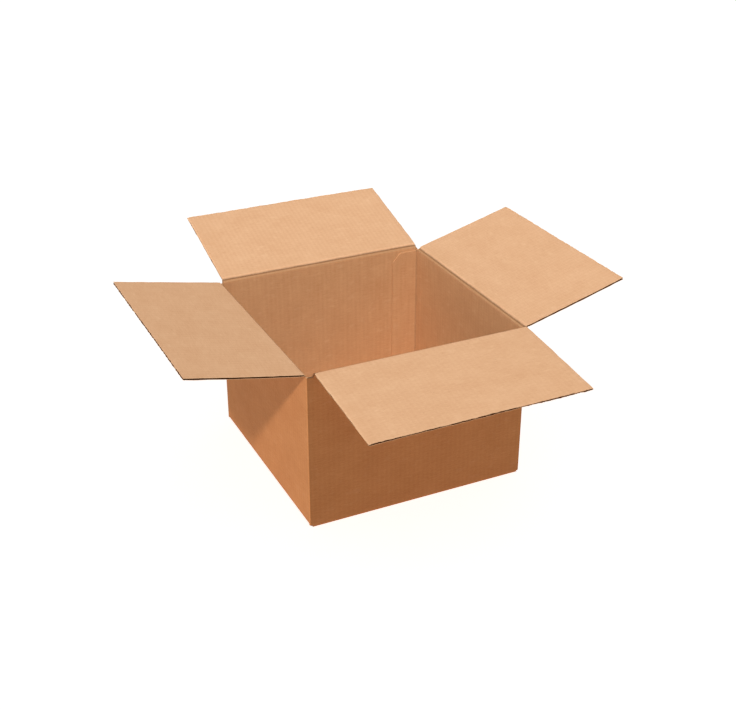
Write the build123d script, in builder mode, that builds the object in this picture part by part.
from build123d import *

import os
from dataclasses import dataclass
from math import atan2, cos, degrees, radians, sin, tan

# An open corrugated carton: one slotted blank, folded into four walls, glued at one upright
# corner and closed at the bottom. Its four top flaps swing on crushed creases.
# The origin is the centre of the underside, +Z is up, the front wall faces -Y.
# Lengths are in millimetres and angles in degrees.

# Outside of the box
box_length = 306.0  # along X
box_width = 306.0  # along Y
box_height = 218.0  # table to the creases of the outer flaps, which are front and back

# Corrugated board: two flat liners with a wavy medium between them
board = 3.0
liner = 0.4
medium = 0.3
flute_pitch = 6.6
glue_line = 0.9  # width of a flute's crest where it is glued to a liner
flute_margin = 2.0  # crushed strip left beside the first and the last flute

# Folds between walls, and from the walls into the bottom
inner_fold_radius = 0.4
fold_radius = board + inner_fold_radius
bottom_fold_radius = 2.5

# Creases of the top flaps
crease_depth = 0.6  # from the wall's outer face in to the line it bends about
crease_bead = 0.5  # radius of the crushed bead along that line
crease_gap = 0.3  # all round the bead
bevel_relief = 1.5  # what each crushed bevel gives beyond the angle it needs
hang_clearance = 15.0  # a flap that hangs right down stops this far out from its wall
closed_limit = -90.0  # lying over the box, from straight up
root_length = 6.5  # from the crease to where a flap's flutes are whole again
flap_clearance = 0.3  # between an inner and an outer flap when both are closed

# Slots that part neighbouring flaps
slot = 4.0  # each side of a corner, where the blank is cut true
front_wide_slot = 9.0  # the front flap's slot by the left wall, cut wide
front_narrow_slot = 3.0
back_slot = 3.0
right_wide_slot = 8.0  # the right flap's slot by the back wall
slot_overrun = 1.0  # how far a slot is cut below the lower creases
seam_gap = 1.0  # between the tips of two closed flaps
bottom_seam = 0.5  # between the tips of two bottom flaps

# Glued corner: a tab folded from the right wall, lapped inside the back wall
tab_width = 42.0
tab_taper = 14.0  # the tab's free edge is shorter than its fold by this, at each end
tab_slant = 12.0  # width over which each end tapers
tab_drop = 7.0  # from the outer creases down to the tab's top
tab_lift = 1.0  # from the inside floor up to the tab's foot
joint_gap = 0.8  # the back wall's raw edge stops this far short of the corner

# Angles of the flaps in the photograph, from straight up, outwards
front_rest = 95.6
back_rest = 74.3
left_rest = 79.1
right_rest = 75.0

crease_step = board + flap_clearance  # the side creases lie lower, so the front and back close over
side_crease = box_height - crease_step
flap_length = min(box_length, box_width) / 2 - crease_depth - seam_gap / 2
inner_bevel = -closed_limit / 2 + bevel_relief  # from level, on the inside of the crease
outer_bevel = (180 - hang_clearance + bevel_relief) / 2
inside_depth = board - crease_depth  # from the bending line to the wall's inner face
slot_foot = side_crease - slot_overrun
core = board - 2 * liner
floor_top = 2 * board


@dataclass(frozen=True)
class Panel:
    """One wall and its top flap. Left and right are as seen from inside the box."""

    name: str
    heading: float  # the way the wall faces, from +X towards +Y
    half_depth: float  # from the box's centre to the wall's outer face
    half_run: float
    crease: float  # height of the bending line
    slot_left: float
    slot_right: float
    rest: float

    @property
    def width(self):
        return 2 * self.half_run - self.slot_left - self.slot_right

    def section(self, angle):
        """The plane across the board at the flap's left end, turned out by angle about the crease:
        x runs towards the outer face, y up the board, and z along the crease."""
        out = Vector(cos(radians(self.heading)), sin(radians(self.heading)), 0)
        up = Vector(0, 0, 1)
        along = out.cross(up)
        left_end = self.slot_left - self.half_run
        origin = out * (self.half_depth - crease_depth) + up * self.crease + along * left_end
        return Plane(
            origin=origin,
            x_dir=out * cos(radians(angle)) - up * sin(radians(angle)),
            z_dir=along,
        )

    def cut_edge(self, angle, distance):
        """The plane across the flutes at a distance from the crease, at the middle of the flap:
        x runs along the crease and y towards the outer face."""
        plane = self.section(angle)
        return Plane(
            origin=plane.origin + plane.z_dir * (self.width / 2) + plane.y_dir * distance,
            x_dir=plane.z_dir,
            z_dir=plane.y_dir,
        )


front = Panel(
    "flap_front",
    -90,
    box_width / 2,
    box_length / 2,
    box_height,
    front_narrow_slot,
    front_wide_slot,
    front_rest,
)
back = Panel(
    "flap_back", 90, box_width / 2, box_length / 2, box_height, back_slot, back_slot, back_rest
)
left = Panel("flap_left", 180, box_length / 2, box_width / 2, side_crease, slot, slot, left_rest)
right = Panel(
    "flap_right",
    0,
    box_length / 2,
    box_width / 2,
    side_crease,
    right_wide_slot,
    slot,
    right_rest,
)
panels = (front, right, back, left)

half_x = box_length / 2
half_y = box_width / 2

# The folded sheet seen from above. It starts at the back wall's raw edge, goes round the left
# and front walls, and ends with the right wall's fold into the tab.
with BuildSketch() as folded_sheet:
    with BuildLine():
        FilletPolyline(
            (half_x - joint_gap, half_y),
            (-half_x, half_y),
            (-half_x, -half_y),
            (half_x, -half_y),
            (half_x, half_y - board - fold_radius),
            radius=fold_radius,
        )
        offset(amount=board, side=Side.LEFT)
    make_face()
    with BuildLine():
        FilletPolyline(
            (half_x, half_y - board - 2 * fold_radius),
            (half_x, half_y - board),
            (half_x - 2 * fold_radius, half_y - board),
            radius=fold_radius,
        )
        offset(amount=board, side=Side.LEFT)
    make_face()

with BuildPart() as box_body:
    # Walls, from the lower faces of the inner bottom flaps up to the outer creases
    with BuildSketch(Plane.XY.offset(board)):
        add(folded_sheet.sketch)
    extrude(amount=box_height - board)

    # Slots, cut down past the lower creases at the corners
    with BuildSketch(Plane.XY.offset(slot_foot)):
        with Locations((-half_x, -half_y)):
            Rectangle(front.slot_right, left.slot_left, align=Align.MIN)
        with Locations((half_x, -half_y)):
            Rectangle(front.slot_left, right.slot_right, align=(Align.MAX, Align.MIN))
        with Locations((half_x, half_y)):
            Rectangle(back.slot_right, right.slot_left, align=Align.MAX)
        with Locations((-half_x, half_y)):
            Rectangle(back.slot_left, left.slot_right, align=(Align.MIN, Align.MAX))
    extrude(amount=box_height - slot_foot, mode=Mode.SUBTRACT)

    # The tab's fold, cut off level with the tab's top
    tab_top = box_height - tab_drop
    with BuildSketch(Plane.XY.offset(tab_top)):
        with Locations((half_x, half_y - board)):
            Rectangle(2 * fold_radius, fold_radius, align=Align.MAX)
    extrude(amount=tab_drop, mode=Mode.SUBTRACT)

    # Creases, crushed into a ridge with a bead along the line that the flap bends about
    for panel in panels:
        with BuildSketch(panel.section(0)):
            with BuildLine():
                Polyline(
                    (0, 0),
                    (board, -board * tan(radians(outer_bevel))),
                    (board, 2 * board),
                    (-board, 2 * board),
                    (-board, -board * tan(radians(inner_bevel))),
                    close=True,
                )
            make_face()
        extrude(amount=panel.width, mode=Mode.SUBTRACT)
        with BuildSketch(panel.section(0)):
            Circle(crease_bead)
        extrude(amount=panel.width)

    # Outer bottom flaps, folded from the front and back walls, then the inner ones on top
    outer_reach = min(half_x, half_y)
    for side in (1, -1):
        with BuildSketch():
            with Locations((0, side * half_y)):
                Rectangle(
                    box_length - 2 * slot,
                    outer_reach - bottom_seam / 2,
                    align=(Align.CENTER, Align.MAX if side > 0 else Align.MIN),
                )
        extrude(amount=board)
        with BuildSketch(Plane.XY.offset(board)):
            with Locations((side * half_x, 0)):
                Rectangle(
                    outer_reach - bottom_seam / 2,
                    box_width - 2 * slot,
                    align=(Align.MAX if side > 0 else Align.MIN, Align.CENTER),
                )
        extrude(amount=board)

    # The tab, glued flat to the inside of the back wall
    tab_fold = half_x - fold_radius
    tab_end = half_x - tab_width
    tab_foot = floor_top + tab_lift
    with BuildSketch(Plane.XZ.offset(board - half_y)):
        with BuildLine():
            Polyline(
                (tab_fold, tab_foot),
                (tab_fold, tab_top),
                (tab_end + tab_slant, tab_top),
                (tab_end, tab_top - tab_taper),
                (tab_end, tab_foot + tab_taper),
                (tab_end + tab_slant, tab_foot),
                close=True,
            )
        make_face()
    extrude(amount=board)

    bottom_folds = (
        box_body.edges()
        .filter_by(Axis.X)
        .filter_by_position(Axis.Z, 0, 0)
        .filter_by(lambda edge: abs(abs(edge.center().Y) - half_y) < liner)
    )
    fillet(bottom_folds, bottom_fold_radius)
box_body.part.label = "box_body"

# One hollow of the board's section, between a liner and the medium: wide where it opens on its
# liner, and narrowing down the flanks of the medium to the back of the crest glued to the other
flank_run = flute_pitch / 2 - glue_line
flank_rise = core - medium
with BuildSketch() as flute:
    Trapezoid(flute_pitch - glue_line, flank_rise, degrees(atan2(flank_rise, flank_run)))


def make_flap(panel):
    """One top flap: a crushed root that bends about the crease, then whole fluted board."""
    flutes = int((panel.width - 2 * flute_margin) / flute_pitch)
    with BuildPart() as flap:
        with BuildSketch(panel.section(panel.rest)):
            with BuildLine():
                Polyline(
                    (crease_depth, root_length),
                    (crease_depth, crease_depth * tan(radians(outer_bevel))),
                    (0, 0),
                    (-inside_depth, inside_depth * tan(radians(inner_bevel))),
                    (-inside_depth, root_length),
                    close=True,
                )
            make_face()
            Circle(crease_bead + crease_gap, mode=Mode.SUBTRACT)
        extrude(amount=panel.width)
        with BuildSketch(panel.cut_edge(panel.rest, root_length)):
            with Locations((0, crease_depth - board / 2)):
                Rectangle(panel.width, board)
            with Locations((0, crease_depth - liner - flank_rise / 2)):
                with GridLocations(flute_pitch, 1, flutes, 1):
                    add(flute.sketch, rotation=180, mode=Mode.SUBTRACT)
            with Locations((0, liner - inside_depth + flank_rise / 2)):
                with GridLocations(flute_pitch, 1, flutes - 1, 1):
                    add(flute.sketch, mode=Mode.SUBTRACT)
        extrude(amount=flap_length - root_length, clean=False)
    flap.part.label = panel.name
    return flap.part


os.makedirs("parts", exist_ok=True)
for piece in (box_body.part, *[make_flap(panel) for panel in panels]):
    export_step(piece, f"parts/{piece.label}.step")
